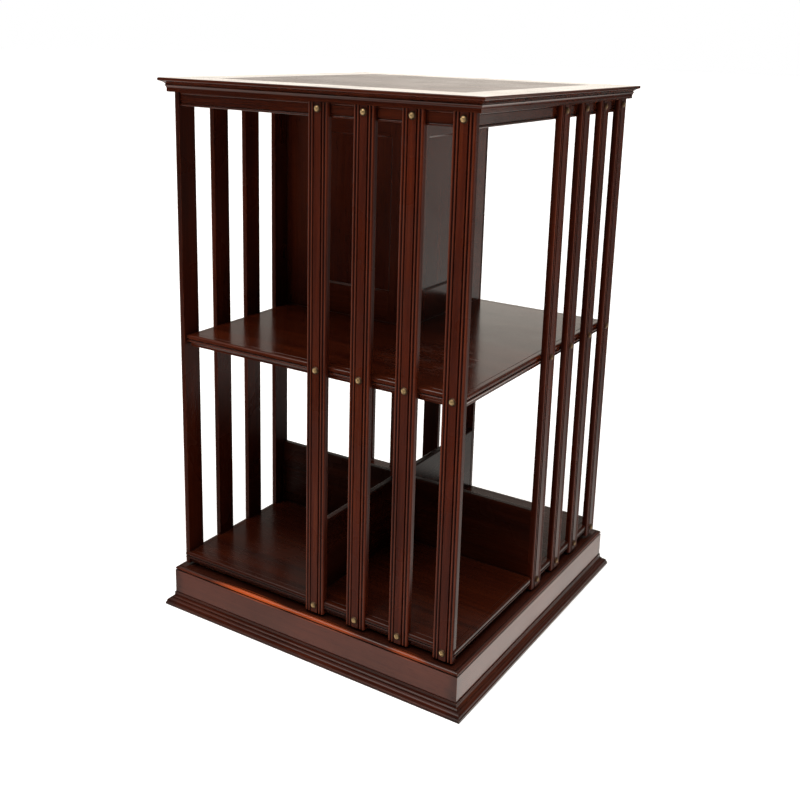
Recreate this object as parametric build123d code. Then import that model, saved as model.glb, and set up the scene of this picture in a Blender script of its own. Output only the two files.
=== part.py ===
from build123d import *
from math import cos, radians, sin
import os

# Revolving bookcase in mahogany: a fixed plinth carries a two-tier carcass that turns on a
# central spindle. Millimetres, +Z up, origin at the centre of the plinth's underside.
# Front is -Y, right is +X, back is +Y, left is -X.

SIDES = ("front", "right", "back", "left")

# plinth
FASCIA_HALF = 240.0
FASCIA_THICK = 22.0
FASCIA_TOP = 60.9
PLINTH_MOULD_HALF = 251.2
PLINTH_MOULD_TOP = 19.0
BASE_BOARD_TOP = 57.0
BASE_BOARD_THICK = 14.0
BEARER_WIDTH = 70.0
BEARER_THICK = 22.0
CORNER_BLOCK = 34.0
CORNER_BLOCK_BOTTOM = 4.0

# spindle and bearing
SPINDLE_RADIUS = 6.0
SPINDLE_BOTTOM = 12.0
SPINDLE_TOP = 394.0
RUNNING_GAP = 0.05
BUSH_RADIUS = 10.0
BUSH_LENGTH = 26.0
NUT_ACROSS_FLATS = 22.0
NUT_HEIGHT = 8.0
PLATE_RADIUS = 55.0
PLATE_THICK = 3.0
PLATE_SCREW_CIRCLE = 43.0
PLATE_SCREW_RADIUS = 2.0
PLATE_SCREW_HEAD_RADIUS = 4.0
PLATE_SCREW_HEAD_DEPTH = 2.4
PLATE_SCREW_LENGTH = 13.0
THRUST_OUTER_RADIUS = 32.0
THRUST_GAP = 0.3

# shelves
SHELF_THICK = 16.6
LOWER_SHELF_HALF = 229.0
LOWER_SHELF_BOTTOM = 66.8
MID_SHELF_HALF = 223.0
MID_SHELF_BOTTOM = 401.3

# slats: four on the right-hand half of each side
SLAT_FACE = 231.6
SLAT_WIDTH = 30.0
SLAT_THICK = 8.6
SLAT_BOTTOM = 65.0
SLAT_FIRST = 9.5
SLAT_PITCH = 67.6
SLATS_PER_SIDE = 4

# domed brass buttons, three on each slat
BUTTON_RADIUS = 5.0
BUTTON_RISE = 3.2
BUTTON_RIM = 0.6
BUTTON_ARC_POINT = 27.0
BUTTON_SHANK_RADIUS = 1.6
BUTTON_SHANK_LENGTH = 16.0
BUTTON_HEIGHTS = (75.8, 412.6, 746.2)

# top
TOP_Z = 772.8
SOFFIT_Z = 754.4
TOP_HALF = 244.4
TOP_FIELD_HALF = 188.0
LIP_THICK = 4.4
FRIEZE_BOTTOM = 735.8
FRIEZE_HALF = 225.3
FRIEZE_THICK = 18.0
FRIEZE_BEAD = 1.6

# low dividers and centre pillar of the lower tier
PILLAR_SIDE = 22.0
PILLAR_BORE_RADIUS = 8.0
DIVIDER_THICK = 10.0
DIVIDER_TOP = 186.2

# two framed walls that close the back-left quarter of the upper tier
WALL_THICK = 13.0
WALL_FRONT_Y = 5.5
WALL_RIGHT_X = 5.5
WALL_LAP = 5.0
CORNER_STILE = 40.0
OUTER_STILE = 80.0
BOTTOM_RAIL_TOP = 466.0
TOP_RAIL_BOTTOM = 692.0
PANEL_THICK = 6.0
PANEL_LAP = 6.0
PANEL_FLOAT = 0.5
PANEL_CHAMFER = 2.5

EXTRA = 20.0

LOWER_SHELF_TOP = LOWER_SHELF_BOTTOM + SHELF_THICK
MID_SHELF_TOP = MID_SHELF_BOTTOM + SHELF_THICK
SLAT_BACK = SLAT_FACE - SLAT_THICK


def block(x0, x1, y0, y1, z0, z1):
    """Plain rectangular solid between two opposite corners."""
    centre = Pos((x0 + x1) / 2, (y0 + y1) / 2, (z0 + z1) / 2)
    return centre * Box(x1 - x0, y1 - y0, z1 - z0)


def rod(radius, z0, z1, x=0.0, y=0.0):
    """Upright round bar."""
    return Pos(x, y, (z0 + z1) / 2) * Cylinder(radius, z1 - z0)


def outline(start, steps):
    """Closed face in a flat (outward, up) plane; a step is an end point or (mid point, end)."""
    edges = []
    here = start
    for step in steps:
        if isinstance(step[0], tuple):
            middle, end = step
            edges.append(ThreePointArc(here, middle, end))
        else:
            end = step
            edges.append(Line(here, end))
        here = end
    edges.append(Line(here, start))
    return make_face(edges)


def turned(shape, side):
    """A piece drawn on the right-hand side, moved to the named side."""
    angle = {"right": 0, "back": 90, "left": 180, "front": 270}[side]
    return Rot(0, 0, angle) * shape


def mitred_length(section, half):
    """A length of moulding along the right-hand side, mitred at both corners.

    The section is drawn as (outward, up); the mitres are the planes at 45 degrees
    through the axis, so four lengths meet corner to corner.
    """
    length = extrude(Plane.XZ * section, amount=half + EXTRA, both=True)
    reach = half + 2 * EXTRA
    wedge = Polyline((0, 0), (reach, -reach), (reach, reach), close=True)
    return length & extrude(make_face(wedge), amount=TOP_Z + EXTRA)


def moulded_slab(half_section, half):
    """A square board with the same moulding along its four edges."""
    section = half_section + mirror(half_section, about=Plane.YZ)
    along_y = extrude(Plane.XZ * section, amount=half + EXTRA, both=True)
    return along_y & (Rot(0, 0, 90) * along_y)


def shelf_section(half, z):
    """Half section of a shelf: hollow, bead, quirk and thumb, with a scratched line on top."""
    return outline((0, z), [
        (half - 4.6, z),
        (half - 4.6, z + 1.8),
        ((half - 3.8, z + 5.0), (half - 1.3, z + 6.6)),
        (half - 0.9, z + 6.6),
        ((half - 0.05, z + 8.0), (half - 0.9, z + 9.4)),
        (half - 2.0, z + 9.4),
        (half - 2.0, z + 10.9),
        (half - 0.5, z + 10.9),
        (half, z + 11.5),
        (half, z + SHELF_THICK - 3.2),
        ((half - 0.94, z + SHELF_THICK - 0.94), (half - 3.2, z + SHELF_THICK)),
        (half - 8.6, z + SHELF_THICK),
        (half - 9.1, z + SHELF_THICK - 0.6),
        (half - 9.6, z + SHELF_THICK),
        (0, z + SHELF_THICK),
    ])


def fascia_section():
    """Plinth board with a quirked bead round its top outer edge."""
    inner = FASCIA_HALF - FASCIA_THICK
    outer = FASCIA_HALF
    top = FASCIA_TOP
    return outline((inner, 0), [
        (outer, 0),
        (outer, top - 6.0),
        (outer - 1.7, top - 5.6),
        (outer - 1.7, top - 4.8),
        (outer - 0.2, top - 3.9),
        ((outer - 1.3, top - 1.3), (outer - 3.9, top - 0.2)),
        (outer - 4.8, top - 1.7),
        (outer - 5.6, top - 1.7),
        (outer - 6.0, top),
        (inner, top),
    ])


def plinth_section():
    """Base moulding: square foot, ovolo, fillet and hollow."""
    face = FASCIA_HALF
    foot = PLINTH_MOULD_HALF
    return outline((face, 0), [
        (foot, 0),
        (foot, 3.2),
        (foot - 1.3, 4.0),
        ((foot - 2.6, 8.0), (foot - 6.2, 9.8)),
        (foot - 6.9, 9.8),
        (foot - 6.9, 11.2),
        ((foot - 9.0, 13.0), (foot - 9.9, 16.0)),
        (foot - 9.9, PLINTH_MOULD_TOP),
        (face, PLINTH_MOULD_TOP),
    ])


def frieze_section():
    """Rail under the top, with a half-round bead along its bottom and top edges."""
    face = FRIEZE_HALF - 1.2
    bead = FRIEZE_BEAD
    spring = FRIEZE_HALF - bead
    inner = FRIEZE_HALF - FRIEZE_THICK
    bottom = FRIEZE_BOTTOM
    top = SOFFIT_Z
    return outline((inner, bottom), [
        (spring, bottom),
        ((FRIEZE_HALF, bottom + bead), (spring, bottom + 2 * bead)),
        (face, bottom + 2.4 * bead),
        (face, top - 2.4 * bead),
        (spring, top - 2 * bead),
        ((FRIEZE_HALF, top - bead), (spring, top)),
        (inner, top),
    ])


def top_border_section():
    """Framing of the top: a thin rounded lip, a hollow under it and an upright lower member."""
    edge = TOP_HALF
    lower = TOP_HALF - 8.4
    z = SOFFIT_Z
    lip = TOP_Z - LIP_THICK
    return outline((TOP_FIELD_HALF, z), [
        (lower, z),
        (lower, z + 2.2),
        ((lower + 0.5, z + 6.2), (lower + 2.0, z + 8.6)),
        (lower + 1.0, z + 9.4),
        (lower + 1.0, z + 10.2),
        ((edge - 4.6, lip - 1.2), (edge - 1.6, lip)),
        ((edge - 0.4, lip + 0.6), (edge, lip + 1.8)),
        (edge, TOP_Z - 1.2),
        ((edge - 0.35, TOP_Z - 0.35), (edge - 1.2, TOP_Z)),
        (TOP_FIELD_HALF, TOP_Z),
    ])


def slat_section():
    """Reeded slat on the right-hand side: two reeds each side of a flat."""
    face = SLAT_FACE
    edge = SLAT_WIDTH / 2
    valley = face - 2.3
    back = SLAT_BACK
    return outline((back, -edge), [
        (face - 2.8, -edge),
        ((face - 0.4, -edge + 2.2), (valley, -edge + 4.6)),
        ((face - 0.2, -edge + 6.6), (valley, -edge + 8.6)),
        (valley, -edge + 9.3),
        (face, -edge + 9.9),
        (face, edge - 9.9),
        (valley, edge - 9.3),
        (valley, edge - 8.6),
        ((face - 0.2, edge - 6.6), (valley, edge - 4.6)),
        ((face - 0.4, edge - 2.2), (face - 2.8, edge)),
        (back, edge),
    ])


def slat_offset(index):
    """Distance of a slat's centre line from the middle of its side."""
    return SLAT_FIRST + SLAT_PITCH * index


def slat_notches(depth_from, z0, z1):
    """Every housing that the lower shelf or the frieze needs for the slats let into it."""
    cut = None
    for side in SIDES:
        for index in range(SLATS_PER_SIDE):
            middle = slat_offset(index)
            notch = turned(block(depth_from, SLAT_FACE + EXTRA,
                                 middle - SLAT_WIDTH / 2, middle + SLAT_WIDTH / 2,
                                 z0 - 1, z1 + 1), side)
            cut = notch if cut is None else cut + notch
    return cut


def button():
    """Domed button on the right-hand side, with its rim on the origin and a shank inward."""
    rise = BUTTON_RISE - BUTTON_RIM
    ball = (BUTTON_RADIUS ** 2 + rise ** 2) / (2 * rise)
    shoulder = radians(BUTTON_ARC_POINT)
    on_dome = (ball * sin(shoulder), BUTTON_RISE - ball + ball * cos(shoulder))
    shape = outline((0, 0), [
        (BUTTON_RADIUS, 0),
        (BUTTON_RADIUS, BUTTON_RIM),
        (on_dome, (0, BUTTON_RISE)),
    ])
    dome = revolve(Plane.XZ * shape, axis=Axis.Z)
    shank = rod(BUTTON_SHANK_RADIUS, -BUTTON_SHANK_LENGTH, BUTTON_RIM)
    return Pos(SLAT_FACE, 0, 0) * (Rot(0, 90, 0) * (dome + shank))


def shank_hole(middle, z):
    """Hole for a button's shank, through a slat and into the shelf or rail behind it."""
    hole = rod(BUTTON_SHANK_RADIUS, -BUTTON_SHANK_LENGTH, BUTTON_RISE)
    return Pos(SLAT_FACE, middle, z) * (Rot(0, 90, 0) * hole)


def shank_holes(z):
    """Every shank hole at one height."""
    cut = None
    for side in SIDES:
        for index in range(SLATS_PER_SIDE):
            hole = turned(shank_hole(slat_offset(index), z), side)
            cut = hole if cut is None else cut + hole
    return cut


def countersunk_screw(x, y, top, length):
    """Flat-headed screw with its head flush at the given height, pointing down."""
    head_bottom = top - PLATE_SCREW_HEAD_DEPTH
    head = Pos(x, y, (top + head_bottom) / 2) * Cone(
        PLATE_SCREW_RADIUS, PLATE_SCREW_HEAD_RADIUS, PLATE_SCREW_HEAD_DEPTH)
    return head + rod(PLATE_SCREW_RADIUS, top - length, head_bottom, x, y)


def framed_wall(length, inner_stile, notch_from):
    """Frame and panel in the XZ plane, from x = 0 to -length, with its show face at y = 0.

    The inner stile is the one at x = 0. The outer one is cut away under the frieze rail, from
    notch_from outward. The panel lies in grooves, and the frame is chamfered round the opening
    on the show face.
    """
    z0 = MID_SHELF_TOP
    z1 = SOFFIT_Z
    left = -length + OUTER_STILE
    right = -inner_stile
    groove_front = (WALL_THICK - PANEL_THICK) / 2
    groove_back = groove_front + PANEL_THICK
    reach = PANEL_LAP + PANEL_FLOAT
    groove = block(left - reach, right + reach, groove_front, groove_back,
                   BOTTOM_RAIL_TOP - reach, TOP_RAIL_BOTTOM + reach)
    housing = block(-length - 1, notch_from, -1, WALL_THICK + 1, FRIEZE_BOTTOM, z1 + 1)
    outer = block(-length, left, 0, WALL_THICK, z0, z1) - housing
    inner = block(right, 0, 0, WALL_THICK, z0, z1)
    low = block(left, right, 0, WALL_THICK, z0, BOTTOM_RAIL_TOP)
    high = block(left, right, 0, WALL_THICK, TOP_RAIL_BOTTOM, z1)
    panel = block(left - PANEL_LAP, right + PANEL_LAP, groove_front, groove_back,
                  BOTTOM_RAIL_TOP - PANEL_LAP, TOP_RAIL_BOTTOM + PANEL_LAP)
    bar = PANEL_CHAMFER * 2 ** 0.5
    height = TOP_RAIL_BOTTOM - BOTTOM_RAIL_TOP
    upright = Rot(0, 0, 45) * Box(bar, bar, height)
    level = Rot(45, 0, 0) * Box(right - left, bar, bar)
    middle_x = (left + right) / 2
    middle_z = (BOTTOM_RAIL_TOP + TOP_RAIL_BOTTOM) / 2
    return {
        "stile_outer": outer - groove - Pos(left, 0, middle_z) * upright,
        "stile_inner": inner - groove - Pos(right, 0, middle_z) * upright,
        "rail_bottom": low - groove - Pos(middle_x, 0, BOTTOM_RAIL_TOP) * level,
        "rail_top": high - groove - Pos(middle_x, 0, TOP_RAIL_BOTTOM) * level,
        "panel": panel,
    }


parts = {}

# ---------------------------------------------------------------- plinth
for side in SIDES:
    fascia = mitred_length(fascia_section(), FASCIA_HALF)
    parts["fascia_" + side] = turned(fascia, side)
    moulding = mitred_length(plinth_section(), PLINTH_MOULD_HALF)
    parts["plinth_moulding_" + side] = turned(moulding, side)

inside = FASCIA_HALF - FASCIA_THICK
board_bottom = BASE_BOARD_TOP - BASE_BOARD_THICK
bearer_bottom = board_bottom - BEARER_THICK
plate_top = BASE_BOARD_TOP + PLATE_THICK

base_board = block(-inside, inside, -inside, inside, board_bottom, BASE_BOARD_TOP)
bearer = block(-inside, inside, -BEARER_WIDTH / 2, BEARER_WIDTH / 2, bearer_bottom, board_bottom)

corner_blocks = []
for sx in (-1, 1):
    for sy in (-1, 1):
        x0, x1 = sorted((sx * inside, sx * (inside - CORNER_BLOCK)))
        y0, y1 = sorted((sy * inside, sy * (inside - CORNER_BLOCK)))
        corner = block(x0, x1, y0, y1, CORNER_BLOCK_BOTTOM, board_bottom)
        corner_blocks.append(corner)

# spindle: a plain bar fixed through the bearing plate, with a nut under the bearer
spindle = rod(SPINDLE_RADIUS, SPINDLE_BOTTOM, SPINDLE_TOP)
spindle = chamfer(spindle.edges().sort_by(Axis.Z)[-1], 1.5)
nut_top = bearer_bottom
nut = extrude(RegularPolygon(NUT_ACROSS_FLATS / 2, 6, major_radius=False), amount=NUT_HEIGHT)
nut = Pos(0, 0, nut_top - NUT_HEIGHT) * nut - rod(SPINDLE_RADIUS, 0, nut_top + 1)

plate = rod(PLATE_RADIUS, BASE_BOARD_TOP, plate_top) - rod(SPINDLE_RADIUS, 0, plate_top + 1)
screws = []
screw_at = PLATE_SCREW_CIRCLE / 2 ** 0.5
for sx in (-1, 1):
    for sy in (-1, 1):
        screw = countersunk_screw(sx * screw_at, sy * screw_at, plate_top, PLATE_SCREW_LENGTH)
        screws.append(screw)
        plate = plate - screw
        base_board = base_board - screw

thrust_bottom = plate_top
thrust_top = LOWER_SHELF_BOTTOM - THRUST_GAP
thrust_ring = rod(THRUST_OUTER_RADIUS, thrust_bottom, thrust_top)
thrust_ring = thrust_ring - rod(SPINDLE_RADIUS, 0, thrust_top + 1)

base_board = base_board - rod(SPINDLE_RADIUS, 0, TOP_Z)
bearer = bearer - rod(SPINDLE_RADIUS, 0, TOP_Z)

parts["base_board"] = base_board
parts["base_bearer"] = bearer
parts["base_corner_blocks"] = Compound(children=corner_blocks)
parts["spindle"] = spindle
parts["spindle_nut"] = nut
parts["bearing_plate"] = plate
parts["bearing_plate_screws"] = Compound(children=screws)
parts["thrust_ring"] = thrust_ring

# ---------------------------------------------------------------- shelves
lower_shelf = moulded_slab(shelf_section(LOWER_SHELF_HALF, LOWER_SHELF_BOTTOM), LOWER_SHELF_HALF)
lower_shelf = lower_shelf - slat_notches(SLAT_BACK, LOWER_SHELF_BOTTOM, LOWER_SHELF_TOP)
lower_shelf = lower_shelf - shank_holes(BUTTON_HEIGHTS[0]) - rod(BUSH_RADIUS, 0, TOP_Z)
parts["lower_shelf"] = lower_shelf

mid_shelf = moulded_slab(shelf_section(MID_SHELF_HALF, MID_SHELF_BOTTOM), MID_SHELF_HALF)
parts["mid_shelf"] = mid_shelf - shank_holes(BUTTON_HEIGHTS[1])

# bushes: one in the lower shelf, one at the head of the pillar
bush_bore = rod(SPINDLE_RADIUS + RUNNING_GAP, 0, TOP_Z)
bushes = [
    rod(BUSH_RADIUS, LOWER_SHELF_BOTTOM, LOWER_SHELF_TOP) - bush_bore,
    rod(PILLAR_BORE_RADIUS, SPINDLE_TOP - BUSH_LENGTH, SPINDLE_TOP) - bush_bore,
]
parts["spindle_bushes"] = Compound(children=bushes)

pillar_half = PILLAR_SIDE / 2
pillar = block(-pillar_half, pillar_half, -pillar_half, pillar_half,
               LOWER_SHELF_TOP, MID_SHELF_BOTTOM)
parts["centre_pillar"] = pillar - rod(PILLAR_BORE_RADIUS, 0, SPINDLE_TOP + 2)

divider = block(pillar_half, SLAT_BACK, -DIVIDER_THICK / 2, DIVIDER_THICK / 2,
                LOWER_SHELF_TOP, DIVIDER_TOP)
divider = fillet(divider.edges().filter_by(Axis.X).group_by(Axis.Z)[-1], 2.0)
for side in SIDES:
    parts["divider_" + side] = turned(divider, side)

# ---------------------------------------------------------------- upper walls
left_length = FRIEZE_HALF + WALL_RIGHT_X
left_wall = framed_wall(left_length, CORNER_STILE,
                        -(FRIEZE_HALF - FRIEZE_THICK) - WALL_RIGHT_X)
for name, piece in left_wall.items():
    parts["wall_left_" + name] = Pos(WALL_RIGHT_X, WALL_FRONT_Y, 0) * piece
# this wall runs past the shelf, and its outer stile laps down over the shelf's edge
parts["wall_left_stile_outer"] += block(-FRIEZE_HALF, -MID_SHELF_HALF,
                                        WALL_FRONT_Y, WALL_FRONT_Y + WALL_THICK,
                                        MID_SHELF_TOP - WALL_LAP, MID_SHELF_TOP + 1)

back_start = WALL_FRONT_Y + WALL_THICK
back_length = SLAT_BACK - back_start
back_wall = framed_wall(back_length, CORNER_STILE - WALL_THICK,
                        -(FRIEZE_HALF - FRIEZE_THICK) + back_start)
for name, piece in back_wall.items():
    faced_right = Rot(0, 0, -90) * mirror(piece, about=Plane.XZ)
    parts["wall_back_" + name] = Pos(WALL_RIGHT_X, back_start, 0) * faced_right

# ---------------------------------------------------------------- top
parts["top_field"] = block(-TOP_FIELD_HALF, TOP_FIELD_HALF, -TOP_FIELD_HALF, TOP_FIELD_HALF,
                           SOFFIT_Z, TOP_Z)
frieze_cuts = slat_notches(SLAT_BACK, FRIEZE_BOTTOM, SOFFIT_Z) + shank_holes(BUTTON_HEIGHTS[2])
for side in SIDES:
    parts["top_border_" + side] = turned(mitred_length(top_border_section(), TOP_HALF), side)
    frieze = turned(mitred_length(frieze_section(), FRIEZE_HALF), side)
    parts["frieze_" + side] = frieze - frieze_cuts

# ---------------------------------------------------------------- slats and buttons
slat_height = SOFFIT_Z - SLAT_BOTTOM
slat_blank = Pos(0, 0, SLAT_BOTTOM) * extrude(slat_section(), amount=slat_height)
buttons = []
for side in SIDES:
    for index in range(SLATS_PER_SIDE):
        middle = slat_offset(index)
        slat = Pos(0, middle, 0) * slat_blank
        for height in BUTTON_HEIGHTS:
            slat = slat - shank_hole(middle, height)
            buttons.append(turned(Pos(0, middle, height) * button(), side))
        parts["slat_" + side + "_" + str(index + 1)] = turned(slat, side)
parts["slat_buttons"] = Compound(children=buttons)

os.makedirs("parts", exist_ok=True)
for name, shape in parts.items():
    export_step(shape, os.path.join("parts", name + ".step"))
print(len(parts), "nodes written")
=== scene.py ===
import math
import random

import bpy
from mathutils import Matrix, Vector

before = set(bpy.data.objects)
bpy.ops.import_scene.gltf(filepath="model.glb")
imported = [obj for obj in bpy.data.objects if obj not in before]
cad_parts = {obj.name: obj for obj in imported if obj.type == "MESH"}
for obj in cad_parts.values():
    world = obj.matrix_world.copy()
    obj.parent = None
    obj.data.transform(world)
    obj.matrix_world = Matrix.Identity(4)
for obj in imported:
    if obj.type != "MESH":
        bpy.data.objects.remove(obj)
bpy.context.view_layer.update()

MM = 0.001
WHITE = (1.0, 1.0, 1.0, 1.0)
rng = random.Random(41)
scene = bpy.context.scene


# ---------------------------------------------------------------- node helpers
class Tree:
    """Short calls for building a shader node tree."""

    NUMBERS = (2, 3)      # the two inputs of a Mix node that mixes numbers
    COLOURS = (6, 7)      # and of one that mixes colours
    COLOUR_OUT = 2

    def __init__(self, owner):
        owner.use_nodes = True
        self.nt = owner.node_tree
        self.nt.nodes.clear()

    def add(self, kind, inputs=(), **settings):
        node = self.nt.nodes.new("ShaderNode" + kind)
        for key, value in settings.items():
            setattr(node, key, value)
        for key, value in dict(inputs).items():
            self.put(node.inputs[key], value)
        return node

    def put(self, socket, value):
        if isinstance(value, bpy.types.NodeSocket):
            self.nt.links.new(value, socket)
        elif isinstance(value, bpy.types.Node):
            self.nt.links.new(value.outputs[0], socket)
        else:
            socket.default_value = value

    def maths(self, operation, a, b=0.0, clamp=False):
        return self.add("Math", {0: a, 1: b}, operation=operation, use_clamp=clamp).outputs[0]

    def times(self, a, b):
        return self.maths("MULTIPLY", a, b)

    def vector(self, operation, a, b=(0.0, 0.0, 0.0)):
        return self.add("VectorMath", {0: a, 1: b}, operation=operation).outputs[0]

    def dot(self, a, b):
        return self.add("VectorMath", {0: a, 1: b}, operation="DOT_PRODUCT").outputs["Value"]

    def noise(self, where, scales, detail=2.0, rough=0.5, distortion=0.0):
        spot = self.vector("MULTIPLY", where, scales)
        return self.add("TexNoise", {"Vector": spot, "Scale": 1.0, "Detail": detail,
                                     "Roughness": rough, "Distortion": distortion})

    def clouds(self, where, scales, *settings):
        return self.noise(where, scales, *settings).outputs["Fac"]

    def spread(self, value, low, high, to_low=0.0, to_high=1.0, smooth=False):
        node = self.add("MapRange", {"Value": value, "From Min": low, "From Max": high,
                                     "To Min": to_low, "To Max": to_high}, clamp=True)
        if smooth:
            node.interpolation_type = "SMOOTHSTEP"
        return node.outputs["Result"]

    def mix(self, factor, a, b, blend="MIX"):
        node = self.add("Mix", data_type="RGBA", blend_type=blend, clamp_factor=True)
        self.put(node.inputs["Factor"], factor)
        for socket, colour in zip(self.COLOURS, (a, b)):
            self.put(node.inputs[socket], colour)
        return node.outputs[self.COLOUR_OUT]

    def between(self, factor, a, b):
        first, second = self.NUMBERS
        node = self.add("Mix", {"Factor": factor, first: a, second: b}, data_type="FLOAT")
        return node.outputs[0]

    def grey(self, level):
        return self.add("CombineColor", {"Red": level, "Green": level, "Blue": level})

    def darken(self, colour, level):
        return self.mix(1.0, colour, self.grey(level), "MULTIPLY")

    def piece_value(self, name):
        return self.add("Attribute", attribute_type="OBJECT", attribute_name=name)

    def ramp(self, value, stops):
        node = self.add("ValToRGB", {"Fac": value})
        ramp = node.color_ramp
        while len(ramp.elements) < len(stops):
            ramp.elements.new(0.5)
        for element, (place, colour) in zip(ramp.elements, stops):
            element.position = place
            element.color = rgba(colour)
        return node.outputs["Color"]

    def bump(self, height, distance, strength=1.0, normal=None):
        node = self.add("Bump", {"Height": height, "Distance": distance, "Strength": strength})
        if normal is not None:
            self.put(node.inputs["Normal"], normal)
        return node.outputs["Normal"]


def rgba(colour):
    return (*colour, 1.0)


# ---------------------------------------------------------------- timber
GRAIN_ORDER = {"x": ("X", "Y", "Z"), "y": ("Y", "Z", "X"), "z": ("Z", "X", "Y")}
WANDER = 0.030                    # how far the grain strays sideways, in metres
EDGE_RADIUS = 0.0011
HOLLOW_REACH = 0.006

PORE_FILL = (0.006, 0.002, 0.0015)
PORE_STRENGTH = 0.35
HOLLOW_POLISH = (0.007, 0.0028, 0.002)
# painted shade towards the corners of the plinth and its moulding
CORNER_SHADE = (0.011, 0.0050, 0.0042)
GROOVE_SHADE = (0.0130, 0.0015, 0.0009)
RUBBED_ORANGE_HIGHLIGHT = (0.50, 0.085, 0.018)

# distance from a slat's centre line, and half width, of its grooves' painted shade and of the
# painted highlights, partly wear, on its reeds' crowns
SHADED_GROOVES = ((0.0062, 0.0014), (0.0105, 0.0017))
CROWN_HIGHLIGHTS = ((0.0083, 0.0010), (0.0132, 0.0012))
# distances out from the spindle where a slat's reeded face begins, and where it is full
SLAT_SKIN = (0.2262, 0.2284)


def patch_distance(t, place, centre, size):
    """Square of the distance from a patch's centre, 1 at the edge of the patch."""
    off = t.vector("MULTIPLY", t.vector("SUBTRACT", place, centre), [1.0 / s for s in size])
    return t.dot(off, off)


def figure_of(t, place, axis, stops):
    """Colour of the timber's figure, with its fine grain and its pores beside it."""
    shift = t.piece_value("grain_shift")
    tone_and_light = t.piece_value("grain_tone")
    parts = t.add("SeparateXYZ", {"Vector": place})
    turned = zip("XYZ", GRAIN_ORDER[axis])
    along = t.add("CombineXYZ", {to: parts.outputs[source] for to, source in turned})
    spot = t.vector("ADD", along.outputs[0], shift.outputs["Vector"])
    bend = t.noise(spot, (1.6, 5.0, 5.0), 2.0)
    sway = t.vector("SUBTRACT", bend.outputs["Color"], (0.5, 0.5, 0.5))
    spot = t.vector("ADD", spot, t.vector("MULTIPLY", sway, (0.0, WANDER, WANDER)))

    # from broad figure down to pores, each drawn out along the grain
    figure = t.clouds(spot, (1.6, 26.0, 26.0), 4.0, 0.55)
    stripe = t.clouds(spot, (2.4, 120.0, 120.0), 3.0, 0.6)
    fine = t.clouds(spot, (11.0, 620.0, 620.0), 2.0, 0.55)
    pores = t.spread(t.clouds(spot, (70.0, 1900.0, 1900.0), 1.0, 0.4), 0.60, 0.72, smooth=True)
    blend = t.maths("ADD", t.times(figure, 0.42), t.times(stripe, 0.36))
    blend = t.maths("ADD", blend, t.times(fine, 0.22))
    colour = t.ramp(t.spread(blend, 0.26, 0.74), stops)
    cloud = t.spread(t.clouds(place, (7.0, 7.0, 7.0), 3.0), 0.3, 0.7, 0.80, 1.18)
    # the piece's tone, which also carries painted light and shade for some parts
    colour = t.darken(colour, t.times(cloud, tone_and_light.outputs["Fac"]))
    colour = t.mix(t.times(pores, PORE_STRENGTH), colour, rgba(PORE_FILL))
    return colour, fine, pores


def reeding(t, place, colour, wear_and_highlight):
    """Painted shade lies dark in the grooves between the reeds, a painted highlight, partly
    wear, lies along their crowns, and the slat's sides and inner face are painted darker as in
    shade.
    """
    across = t.piece_value("slat_across")
    middle = t.piece_value("slat_middle")
    off = t.maths("SUBTRACT", t.dot(place, across.outputs["Vector"]), middle.outputs["Fac"])
    off = t.maths("ABSOLUTE", off)
    outward = t.piece_value("slat_outward")
    outer = t.spread(t.dot(place, outward.outputs["Vector"]), *SLAT_SKIN)

    def lines(table, core):
        level = 0.0
        for centre, half in table:
            near = t.maths("ABSOLUTE", t.maths("SUBTRACT", off, centre))
            level = t.maths("MAXIMUM", level, t.spread(near, core * half, half, 1.0, 0.0))
        return level

    # painted shade along the grooves of the outer face
    groove_shade = lines(SHADED_GROOVES, 0.4)
    # painted highlight, partly wear: lighter lines along the reeds' crowns
    crown_highlight = lines(CROWN_HIGHLIGHTS, 0.2)
    patch = t.clouds(place, (30.0, 30.0, 9.0), 3.0, 0.6)
    crown_highlight = t.times(crown_highlight, t.spread(patch, 0.30, 0.65, 0.15, 0.60))
    groove_shade = t.times(groove_shade, t.times(outer, 0.80))
    colour = t.mix(groove_shade, colour, rgba(GROOVE_SHADE))
    colour = t.mix(t.times(crown_highlight, outer), colour, rgba(wear_and_highlight))
    # painted shade: the slat's sides and inner face are painted darker than its reeded outer
    # face
    return t.darken(colour, t.spread(outer, 0.0, 1.0, 0.62, 1.0))


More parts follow.
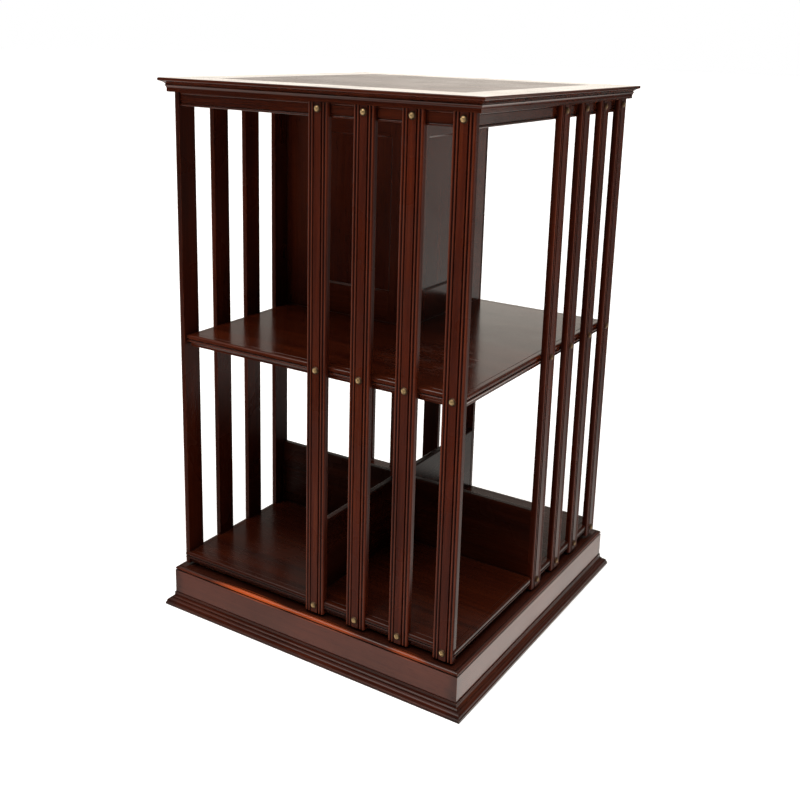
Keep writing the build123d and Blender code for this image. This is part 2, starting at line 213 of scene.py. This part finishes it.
def wood(name, axis, stops, wear_and_highlight, rough, shine=0.5, pore_depth=0.00001, wear=0.5, grime=0.6,
         scuffs=(), reeded=False, ledge=1.0, corner=None, rubbed=()):
    """Solid timber with its grain along one axis, figured through its whole thickness.

    Scuffs are duller patches, and rubbed ones are worn to orange and painted as an orange
    highlight: (centre, size, strength).
    Up-face shade is painted shade that dims the faces that look up. Corner shade is the two
    distances from the middle planes between which painted shade darkens the wood towards a
    corner."""
    mat = bpy.data.materials.new(name)
    t = Tree(mat)
    place = t.add("TexCoord").outputs["Object"]
    colour, fine, pores = figure_of(t, place, axis, stops)

    # rubbed edges show lighter wood, and the hollows of the mouldings hold old polish
    normal = t.add("NewGeometry").outputs["Normal"]
    soft = t.add("Bevel", {"Radius": EDGE_RADIUS}, samples=6)
    edge = t.maths("SUBTRACT", 1.0, t.dot(soft.outputs[0], normal))
    rub = t.clouds(place, (60.0, 60.0, 60.0), 4.0, 0.6)
    rub = t.times(t.spread(edge, 0.02, 0.22), t.spread(rub, 0.42, 0.62))
    hollow = t.add("AmbientOcclusion", {"Distance": HOLLOW_REACH}, samples=6)
    dirt = t.spread(hollow.outputs["AO"], 0.35, 0.85, 1.0, 0.0)
    clean = t.maths("SUBTRACT", 1.0, dirt, clamp=True)
    colour = t.mix(t.times(dirt, grime), colour, rgba(HOLLOW_POLISH))
    # painted shade: faces that look up are painted darker, as if shaded by the case above them
    if ledge < 1.0:
        facing = t.add("SeparateXYZ", {"Vector": normal}).outputs["Z"]
        colour = t.darken(colour, t.spread(facing, 0.35, 0.95, 1.0, ledge))
    # painted shade: the wood is painted darker towards the corners, with a ragged edge
    if corner:
        flats = t.add("SeparateXYZ", {"Vector": t.vector("ABSOLUTE", place)})
        nearer = t.maths("MINIMUM", flats.outputs["X"], flats.outputs["Y"])
        ragged = t.clouds(place, (40.0, 40.0, 40.0), 3.0, 0.6)
        nearer = t.maths("ADD", nearer, t.spread(ragged, 0.3, 0.7, -0.006, 0.006))
        corner_shading = t.spread(nearer, corner[0], corner[1], 0.0, 0.55, smooth=True)
        colour = t.mix(corner_shading, colour, rgba(CORNER_SHADE))
    if reeded:
        colour = reeding(t, place, colour, wear_and_highlight)
    # painted highlight, partly wear: orange patches rubbed along the bead
    for centre, size, strength in rubbed:
        apart = patch_distance(t, place, centre, size)
        near = t.spread(apart, 1.0, 0.0, 0.0, strength, smooth=True)
        colour = t.mix(t.times(near, clean), colour, rgba(RUBBED_ORANGE_HIGHLIGHT))
    colour = t.mix(t.times(t.times(rub, clean), wear), colour, rgba(wear_and_highlight))

    # the polish is smeared by hands, broken on the scuffs, and dull in hollows and pores
    smear = t.clouds(place, (14.0, 11.0, 13.0), 2.0, 0.5, 0.4)
    rough_now = t.spread(smear, 0.35, 0.68, rough[0], rough[1])
    for centre, size, strength in scuffs:
        apart = patch_distance(t, place, centre, size)
        near = t.spread(apart, 1.0, 0.1, smooth=True)
        scratched = t.clouds(place, (38.0, 95.0, 60.0), 5.0, 0.7, 0.8)
        scratched = t.times(t.spread(scratched, 0.46, 0.62), near)
        rough_now = t.maths("ADD", rough_now, t.times(scratched, strength))
    rough_now = t.maths("ADD", rough_now, t.times(dirt, 0.22))
    rough_now = t.maths("ADD", rough_now, t.times(pores, 0.08), clamp=True)

    # open pores and fine grain, over the slow waves of a hand-planed board
    bumped = t.bump(t.maths("SUBTRACT", t.times(fine, 0.30), pores), pore_depth)
    bumped = t.bump(t.clouds(place, (17.0, 17.0, 17.0), 1.0), 0.0006, 0.35, bumped)
    shader = t.add("BsdfPrincipled", {
        "Base Color": colour, "Roughness": rough_now, "Normal": bumped,
        "IOR": 1.5, "Specular IOR Level": shine})
    t.add("OutputMaterial", {"Surface": shader})
    return mat


# ---------------------------------------------------------------- metal
def metal(name, bright, dull, rough, shaded_dome=False):
    """Metal with a patina in clouds, and on a domed head a painted highlight at its crown with
    painted shade towards its rim.
    """
    mat = bpy.data.materials.new(name)
    t = Tree(mat)
    coords = t.add("TexCoord")
    place = coords.outputs["Object"]
    cloud = t.clouds(place, (420.0, 420.0, 420.0), 4.0, 0.6)
    wide = t.clouds(place, (9.0, 9.0, 9.0), 2.0)
    wear_and_highlight = t.spread(t.maths("ADD", t.times(cloud, 0.6), t.times(wide, 0.4)), 0.38, 0.62)
    if shaded_dome:
        # painted highlight and shade: a head is painted brightest at its crown and darker
        # towards its rim, and the heads on the left and right are painted duller, partly
        # tarnish and partly painted shade
        axes = t.add("SeparateXYZ", {"Vector": t.vector("ABSOLUTE", coords.outputs["Normal"])})
        spots = t.add("SeparateXYZ", {"Vector": t.vector("ABSOLUTE", place)})
        sideways = t.maths("GREATER_THAN", spots.outputs["X"], spots.outputs["Y"])
        crown_highlight = t.between(sideways, axes.outputs["Y"], axes.outputs["X"])
        crown_highlight = t.spread(crown_highlight, 0.74, 0.97, smooth=True)
        wear_and_highlight = t.times(t.maths("ADD", t.times(wear_and_highlight, 0.6), 0.4), crown_highlight)
        wear_and_highlight = t.times(wear_and_highlight, t.spread(sideways, 0.0, 1.0, 1.0, 0.25))
    scratch = t.clouds(place, (900.0, 900.0, 900.0), 2.0)
    shader = t.add("BsdfPrincipled", {
        "Base Color": t.mix(wear_and_highlight, rgba(dull), rgba(bright)),
        "Roughness": t.spread(wear_and_highlight, 0.0, 1.0, rough[1], rough[0]),
        "Normal": t.bump(scratch, 0.00003), "Metallic": 0.75 if shaded_dome else 1.0})
    t.add("OutputMaterial", {"Surface": shader})
    return mat


# ---------------------------------------------------------------- palettes and materials
DEEP = [(0.0, (0.012, 0.0022, 0.0012)), (0.35, (0.032, 0.0052, 0.0018)),
        (0.65, (0.060, 0.0100, 0.0030)), (1.0, (0.110, 0.0240, 0.0060))]
SLATS = [(0.0, (0.016, 0.0020, 0.0008)), (0.35, (0.036, 0.0048, 0.0013)),
         (0.65, (0.062, 0.0086, 0.0021)), (1.0, (0.105, 0.0185, 0.0040))]
WALLS = [(0.0, (0.028, 0.0045, 0.0020)), (0.35, (0.037, 0.0060, 0.0022)),
         (0.65, (0.050, 0.0084, 0.0028)), (1.0, (0.074, 0.0138, 0.0042))]
PLINTH = [(0.0, (0.034, 0.0080, 0.0048)), (0.35, (0.040, 0.0096, 0.0056)),
          (0.65, (0.048, 0.0116, 0.0064)), (1.0, (0.062, 0.0160, 0.0084))]
RAW = [(0.0, (0.16, 0.092, 0.050)), (0.35, (0.24, 0.150, 0.085)),
       (0.65, (0.31, 0.200, 0.120)), (1.0, (0.38, 0.260, 0.160))]
WORN = (0.17, 0.046, 0.014)
# the slats' worn edges, and also the painted highlight on their reeds' crowns
WORN_AND_HIGHLIGHT_SLAT = (0.20, 0.040, 0.013)
WORN_RAW = (0.42, 0.30, 0.20)

SHELF_SCUFF = ((0.108, -0.110, 0.418), (0.085, 0.100, 0.05), 0.30)
# three places along the front bead of the plinth, worn and painted with an orange highlight
BEAD_RUBS_AND_HIGHLIGHTS = (((-0.090, -0.240, 0.0590), (0.085, 0.009, 0.0065), 1.0),
             ((0.025, -0.240, 0.0590), (0.080, 0.009, 0.0065), 0.60),
             ((0.165, -0.240, 0.0590), (0.035, 0.009, 0.0065), 0.45))


def each_way(name, axes, stops, wear_and_highlight=WORN, **settings):
    """The same timber with its grain along each of the axes asked for."""
    return {a: wood(name + "_" + a, a, stops, wear_and_highlight, **settings) for a in axes}


# the shelves, walls and plinth keep a clear polish, and the slats are dulled by handling
mahogany = each_way("mahogany", "xyz", DEEP, rough=(0.09, 0.17))
slat_wood = wood("mahogany_slats", "z", SLATS, WORN_AND_HIGHLIGHT_SLAT, rough=(0.24, 0.36), shine=0.18,
                 wear=0.8, reeded=True)
mid_shelf_wood = wood("mahogany_mid_shelf", "x", DEEP, WORN, rough=(0.12, 0.19),
                      scuffs=(SHELF_SCUFF,))
low_shelf_wood = wood("mahogany_low_shelf", "x", DEEP, WORN, rough=(0.18, 0.28), shine=0.30)
top_field_wood = wood("mahogany_top_field", "x", DEEP, WORN, rough=(0.24, 0.28),
                      pore_depth=0.000008)
top_border_wood = each_way("mahogany_top", "xy", DEEP, rough=(0.07, 0.14))
plinth_wood = each_way("mahogany_plinth", "xy", PLINTH, rough=(0.10, 0.18), grime=0.9,
                       ledge=0.32, corner=(0.222, 0.240), rubbed=BEAD_RUBS_AND_HIGHLIGHTS)
mould_wood = each_way("mahogany_mould", "xy", DEEP, rough=(0.16, 0.26), shine=0.32,
                      grime=0.9, corner=(0.226, 0.246))
wall_wood = each_way("mahogany_wall", "xyz", WALLS, rough=(0.10, 0.17))
divider_wood = each_way("mahogany_divider", "xy", DEEP, rough=(0.22, 0.32), shine=0.16)
raw_wood = each_way("raw_wood", "xz", RAW, WORN_RAW, rough=(0.62, 0.78), shine=0.3,
                    pore_depth=0.0001, wear=0.2, grime=0.35)
brass = metal("aged_brass", (1.0, 0.68, 0.32), (0.085, 0.042, 0.022), (0.22, 0.5), shaded_dome=True)
turned_brass = metal("turned_brass", (0.66, 0.47, 0.21), (0.30, 0.19, 0.08), (0.24, 0.4))
steel = metal("bright_steel", (0.50, 0.49, 0.47), (0.17, 0.155, 0.14), (0.28, 0.48))

SINGLE_NODES = {
    "top_field": top_field_wood, "mid_shelf": mid_shelf_wood, "lower_shelf": low_shelf_wood,
    "centre_pillar": mahogany["z"], "slat_buttons": brass,
    "base_board": raw_wood["x"], "base_bearer": raw_wood["x"],
    "base_corner_blocks": raw_wood["z"],
    "spindle_bushes": turned_brass, "thrust_ring": turned_brass,
    "spindle": steel, "spindle_nut": steel, "bearing_plate": steel,
    "bearing_plate_screws": steel}
# rails and mouldings, whose grain runs along the side that they are on
ALONG_SIDE = {"fascia_": plinth_wood, "plinth_moulding_": mould_wood, "frieze_": mahogany,
              "top_border_": top_border_wood}
# how light a node's timber is beside the rest, partly its own tone and partly painted light
# and shade: the fascias and mid shelf painted lighter, the lower shelf and dividers painted
# darker
TONES_AND_LIGHT = (("fascia_", 2.15), ("plinth_moulding_", 0.90), ("lower_shelf", 0.75),
         ("divider_", 0.50), ("mid_shelf", 1.35), ("wall_back", 1.7), ("wall_", 1.3),
         ("frieze_", 1.1), ("slat_", 1.1))


def material_of(node):
    """A node's material, with the grain the way its timber runs."""
    if node in SINGLE_NODES:
        return SINGLE_NODES[node]
    if node.startswith("slat_"):
        return slat_wood
    if node.startswith("wall_"):
        if "_rail_" not in node:
            return wall_wood["z"]
        return wall_wood["y" if node.startswith("wall_back") else "x"]
    front_or_back = node.endswith(("_front", "_back"))
    if node.startswith("divider_"):
        return divider_wood["y" if front_or_back else "x"]
    for start, timber in ALONG_SIDE.items():
        if node.startswith(start):
            return timber["x" if front_or_back else "y"]
    raise ValueError("no material for " + node)


def tone_and_light_of(node):
    for start, level in TONES_AND_LIGHT:
        if node.startswith(start):
            return level
    return 1.0


def place_reeding(piece, name):
    """Tell the slat's material which way it faces and where its centre line is."""
    across = 0 if name.startswith(("slat_front", "slat_back")) else 1
    low_corner, high_corner = piece.bound_box[0], piece.bound_box[6]
    across_way = [0.0, 0.0, 0.0]
    across_way[across] = 1.0
    outward_way = [0.0, 0.0, 0.0]
    outward_way[1 - across] = -1.0 if name.startswith(("slat_front", "slat_left")) else 1.0
    piece["slat_across"] = across_way
    piece["slat_outward"] = outward_way
    piece["slat_middle"] = (low_corner[across] + high_corner[across]) / 2


for name in sorted(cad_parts):
    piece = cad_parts[name]
    piece.data.materials.clear()
    piece.data.materials.append(material_of(name))
    piece["grain_shift"] = [rng.uniform(0.0, 9.0) for _ in range(3)]
    if name.startswith("slat_") and name != "slat_buttons":
        place_reeding(piece, name)
    # a random tone times the part's tone and painted light or shade
    piece["grain_tone"] = rng.uniform(0.90, 1.10) * tone_and_light_of(name)

# ---------------------------------------------------------------- floor
bpy.ops.mesh.primitive_plane_add(size=60.0, location=(0.0, 0.0, 0.0))
floor = bpy.context.object
floor.name = "floor"
floor.visible_glossy = False
pale_floor = bpy.data.materials.new("pale_floor")
floor.data.materials.append(pale_floor)
t = Tree(pale_floor)
speck = t.clouds(t.add("TexCoord").outputs["Object"], (3.0, 3.0, 3.0), 3.0)
t.add("OutputMaterial", {"Surface": t.add("BsdfPrincipled", {
    "Base Color": t.grey(t.spread(speck, 0.3, 0.7, 0.80, 0.82)),
    "Roughness": 0.95, "Specular IOR Level": 0.0,
    "Emission Color": (1.0, 0.99, 0.98, 1.0), "Emission Strength": 0.45})})

# ---------------------------------------------------------------- light
# A pale studio, as the polish mirrors it. The camera itself sees plain white.
WINDOW_WAY = (-0.75, 0.66, 0.0)       # bright windows behind and to the left
SHEET_WAY = (0.50, 0.866, 0.0)        # a white sheet low down, behind and to the right
LEFT_WAY = (-1.0, 0.0, 0.0)
RIGHT_WAY = (1.0, 0.0, 0.0)
UP_WAY = (0.0, 0.0, 1.0)
UPPER_TINT = (1.0, 0.925, 0.825, 1.0)
LOWER_TINT = (1.0, 0.945, 0.875, 1.0)

world = bpy.data.worlds.new("studio")
scene.world = world
t = Tree(world)
way = t.add("TexCoord").outputs["Generated"]
rise = t.dot(way, UP_WAY)
flat = t.vector("NORMALIZE", t.vector("MULTIPLY", way, (1.0, 1.0, 0.0)))
leftness = t.dot(flat, LEFT_WAY)

# the windows fade upwards, and are partly shaded towards the left
windows = t.spread(t.dot(flat, WINDOW_WAY), 0.15, 0.75, smooth=True)
windows = t.times(windows, t.spread(rise, 0.10, 0.50, 1.38, 0.12, smooth=True))
shaded = t.spread(leftness, 0.45, 0.66, 0.0, 0.6, smooth=True)
shaded = t.times(shaded, t.spread(rise, 0.08, 0.20, smooth=True))
windows = t.times(windows, t.maths("SUBTRACT", 1.0, shaded))

# the sheet is lit towards the right, and is dark elsewhere except low down
sheet = t.spread(t.dot(flat, SHEET_WAY), 0.05, 0.70, smooth=True)
sheet = t.times(sheet, t.spread(rise, -0.45, -0.10, 1.0, 0.50, smooth=True))
lit = t.spread(t.dot(flat, RIGHT_WAY), 0.39, 0.46, 0.05, 1.15, smooth=True)
lit = t.between(t.spread(rise, -0.42, -0.28, smooth=True), 1.0, lit)
sheet = t.times(sheet, lit)

# a soft ceiling, a faint band at eye level, a glow at the left, and the floor close by
above = t.maths("ADD", t.spread(rise, 0.20, 0.85, 0.0, 0.35, smooth=True),
                t.spread(t.maths("ABSOLUTE", rise), 0.08, 0.24, 0.04, 0.0, smooth=True))
side = t.times(t.spread(leftness, 0.72, 0.93, smooth=True),
               t.spread(rise, 0.02, 0.25, 0.70, 0.0, smooth=True))
below = t.spread(rise, -0.56, -0.38, 0.75, 0.0, smooth=True)
below = t.times(below, t.spread(rise, -0.74, -0.60, 0.06, 1.0, smooth=True))

lower_half = t.spread(rise, -0.03, 0.03, 1.0, 0.0, smooth=True)
level = t.between(lower_half, windows, sheet)
level = t.maths("ADD", t.maths("ADD", level, side), t.maths("ADD", above, below))
seen = t.add("LightPath").outputs["Is Camera Ray"]
level = t.between(seen, level, 1.0)
tint = t.mix(lower_half, UPPER_TINT, LOWER_TINT)
tint = t.mix(t.maths("SUBTRACT", 1.0, seen), WHITE, tint)
t.add("OutputWorld", {"Surface": t.add("Background", {"Color": tint, "Strength": level})})

# a warm soft box high over the front left, and a wide soft sun from above
key_lamp = bpy.data.lights.new("key", "AREA")
key_lamp.shape = "RECTANGLE"
key_lamp.size, key_lamp.size_y = 1.8, 1.4
key_lamp.energy = 26.0
key_lamp.color = (1.0, 0.97, 0.93)
key = bpy.data.objects.new("key", key_lamp)
key_place, key_target = Vector((-1.3, -2.0, 2.9)), Vector((0.0, 0.0, 0.4))
key.location = key_place
key.rotation_euler = (key_target - key_place).to_track_quat("-Z", "Y").to_euler()
scene.collection.objects.link(key)

sun = bpy.data.lights.new("overhead", "SUN")
sun.energy = 2.6
sun.angle = math.radians(50.0)
overhead = bpy.data.objects.new("overhead", sun)
overhead.rotation_euler = (math.radians(8.0), math.radians(7.0), 0.0)
scene.collection.objects.link(overhead)

# ---------------------------------------------------------------- camera
# A view camera: the picture is shifted, so its optical axis meets it above the middle row.
PICTURE = 800.0
FOCAL_POINTS = 1044.94
AXIS_ROW = 298.2
SENSOR = 36.0
YAW, PITCH, ROLL = 0.5558, -0.2460, 0.0276
EYE = Vector((777.7, -1266.6, 834.4)) * MM

ahead = Vector((-math.sin(YAW) * math.cos(PITCH), math.cos(YAW) * math.cos(PITCH),
                math.sin(PITCH)))
right = Vector((math.cos(YAW), math.sin(YAW), 0.0))
up = right.cross(ahead)
rolled_right = math.cos(ROLL) * right + math.sin(ROLL) * up
rolled_up = -math.sin(ROLL) * right + math.cos(ROLL) * up
turn = Matrix((rolled_right, rolled_up, -ahead)).transposed().to_4x4()

lens = bpy.data.cameras.new("camera")
lens.sensor_width = SENSOR
lens.lens = FOCAL_POINTS / PICTURE * SENSOR
lens.shift_y = (AXIS_ROW - PICTURE / 2) / PICTURE
camera = bpy.data.objects.new("camera", lens)
camera.matrix_world = Matrix.Translation(EYE) @ turn
scene.collection.objects.link(camera)
scene.camera = camera
scene.view_settings.view_transform = "Standard"
